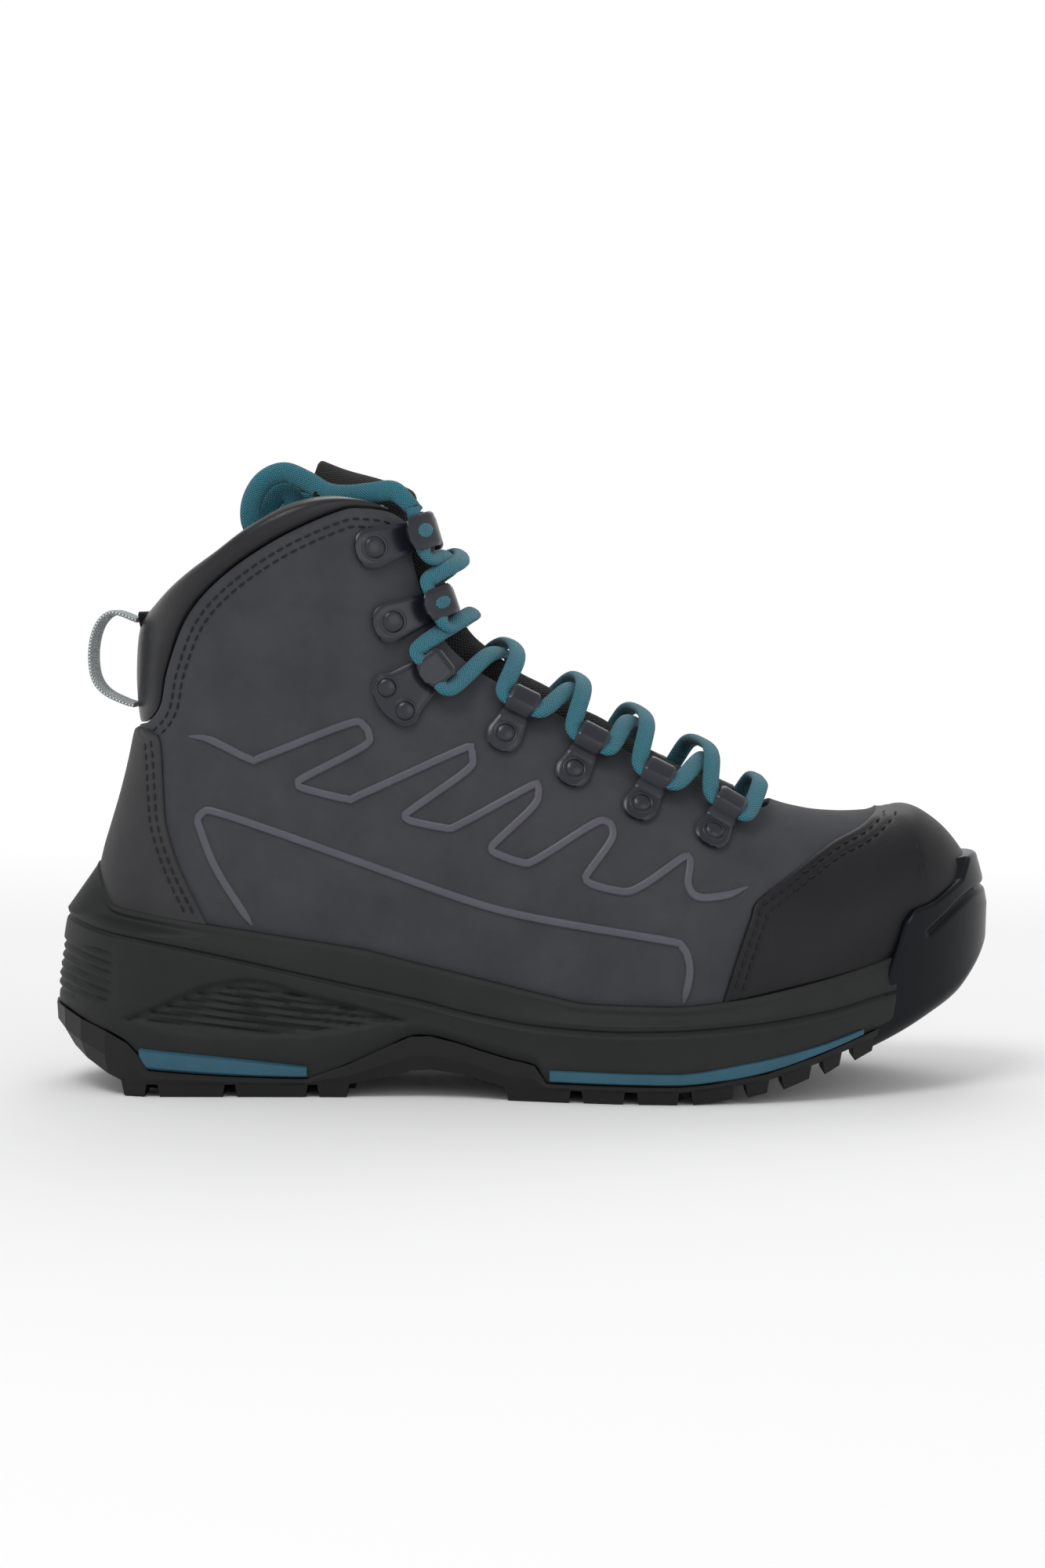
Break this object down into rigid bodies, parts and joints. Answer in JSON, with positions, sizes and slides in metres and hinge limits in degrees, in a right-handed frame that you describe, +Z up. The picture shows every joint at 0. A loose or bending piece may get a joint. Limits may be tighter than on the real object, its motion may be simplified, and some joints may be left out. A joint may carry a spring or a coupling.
{
  "type": "wading boot",
  "caption": "Laced ankle-high wading boot with a lugged rubber sole, wrapped toe bumper, padded collar, lace tabs and hooks and a heel pull loop; right foot, standing empty.",
  "frame": {"origin": "on the floor under the middle of the boot's box without its free lace ends", "axes": "+X to the toe, +Z up, -Y to the outer side of the right foot"},
  "size_m": [0.2981, 0.1105, 0.2043],
  "materials": {
    "nubuck": "matte",
    "overlay": "satin",
    "counter": "matte",
    "lining": "matte",
    "midsole": "matte",
    "rubber": "matte",
    "bumper": "satin",
    "accent": "satin",
    "hardware": "satin",
    "lace": "matte",
    "webbing": "matte"
  },
  "bodies": {
    "root": {"ankle_hook_inner": "hardware", "ankle_hook_outer": "hardware", "collar": "lining", "forefoot_strip_inner": "accent", "forefoot_strip_outer": "accent", "heel_counter": "counter", "heel_strip_inner": "accent", "heel_strip_outer": "accent", "insole": "lining", "lace_bar": "lace", "lace_crossing_1": "lace", "lace_crossing_2": "lace", "lace_crossing_3": "lace", "lace_crossing_4": "lace", "lace_crossing_5": "lace", "lace_crossing_6": "lace", "lace_end_inner": "lace", "lace_end_outer": "lace", "lace_tab_1_inner": "hardware", "lace_tab_1_outer": "hardware", "lace_tab_2_inner": "hardware", "lace_tab_2_outer": "hardware", "lace_tab_3_inner": "hardware", "lace_tab_3_outer": "hardware", "lace_tab_4_inner": "hardware", "lace_tab_4_outer": "hardware", "middle_hook_inner": "hardware", "middle_hook_outer": "hardware", "midsole": "midsole", "outsole": "rubber", "pull_loop": "webbing", "toe_bumper": "bumper", "toe_cap": "overlay", "tongue": "lining", "top_hook_inner": "hardware", "top_hook_outer": "hardware", "upper": "nubuck"}
  },
  "joints": []
}
